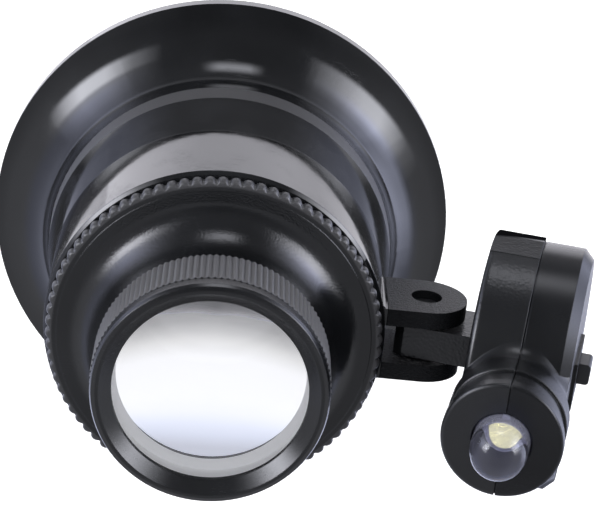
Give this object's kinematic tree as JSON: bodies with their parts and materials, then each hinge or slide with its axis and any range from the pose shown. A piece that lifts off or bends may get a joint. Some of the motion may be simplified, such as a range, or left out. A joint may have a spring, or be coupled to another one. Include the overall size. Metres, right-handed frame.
{
  "type": "jeweller's eye loupe",
  "caption": "Black eye loupe with a flared eyecup, screwed lens barrels with grip rings, and a hinged side lamp with a slide switch.",
  "frame": {"origin": "centre of the eyecup rim, in the plane that it stands on", "axes": "+Z along the optical axis from eyecup to front lens, +X towards the lamp, Y along the lamp hinge pin"},
  "size_m": [0.0584, 0.046, 0.0502],
  "materials": {
    "eyecup_gloss": "polished moulded black plastic",
    "barrel_satin": "satin moulded black plastic",
    "cell_satin": "satin moulded black plastic",
    "ring_black": "matt black",
    "lens_glass": "clear polished lens",
    "lamp_grain": "spark-grained black plastic",
    "lamp_satin": "satin black plastic",
    "knob_satin": "satin black plastic",
    "pin_black": "matt black plastic",
    "led_clear": "clear cast resin",
    "led_yellow": "yellow phosphor",
    "lead_tin": "tinned steel",
    "coin_steel": "nickel-plated steel",
    "contact_brass": "spring brass",
    "resistor_tan": "lacquered"
  },
  "bodies": {
    "eyecup": {"eyecup": "eyecup_gloss"},
    "rear_ring": {"rear_lens_ring": "ring_black"},
    "front_barrel": {"front_barrel": "barrel_satin", "rear_lens": "lens_glass"},
    "front_ring": {"front_lens_ring": "ring_black"},
    "lens_cell": {"lens_cell": "cell_satin", "front_lens": "lens_glass"},
    "lamp": {"lamp_inner_shell": "lamp_grain", "lamp_outer_shell": "lamp_satin", "hinge_pin": "pin_black", "led_body": "led_clear", "led_cathode": "lead_tin", "led_anode": "lead_tin", "led_phosphor": "led_yellow", "resistor": "resistor_tan", "inner_coin_cell": "coin_steel", "outer_coin_cell": "coin_steel", "negative_contact": "contact_brass", "positive_contact": "contact_brass"},
    "switch": {"switch_knob": "knob_satin", "switch_slider": "contact_brass"}
  },
  "joints": [
    {"name": "barrel_travel", "type": "slide", "parent": "eyecup", "child": "rear_ring", "axis": [0, 0, 1], "range_m": [0, 0.00251]},
    {"name": "barrel_turn", "type": "hinge", "parent": "rear_ring", "child": "front_barrel", "pos_m": [0, 0, 0.029], "axis": [0, 0, 1], "range_deg": [0, 900]},
    {"name": "cell_travel", "type": "slide", "parent": "front_barrel", "child": "front_ring", "axis": [0, 0, 1], "range_m": [0, 0.00226]},
    {"name": "cell_turn", "type": "hinge", "parent": "front_ring", "child": "lens_cell", "pos_m": [0, 0, 0.038], "axis": [0, 0, 1], "range_deg": [0, 1080]},
    {"name": "lamp_swing", "type": "hinge", "parent": "eyecup", "child": "lamp", "pos_m": [0.0194, 0, 0.0242], "axis": [0, 1, 0], "range_deg": [-20, 55]},
    {"name": "switch_slide", "type": "slide", "parent": "lamp", "child": "switch", "axis": [-0.213, 0, 0.977], "range_m": [0, 0.002]}
  ],
  "couplings": [
    {"joint": "barrel_travel", "follows": "barrel_turn", "m_per_rad": 0.00015915},
    {"joint": "cell_travel", "follows": "cell_turn", "m_per_rad": 0.00011937}
  ]
}
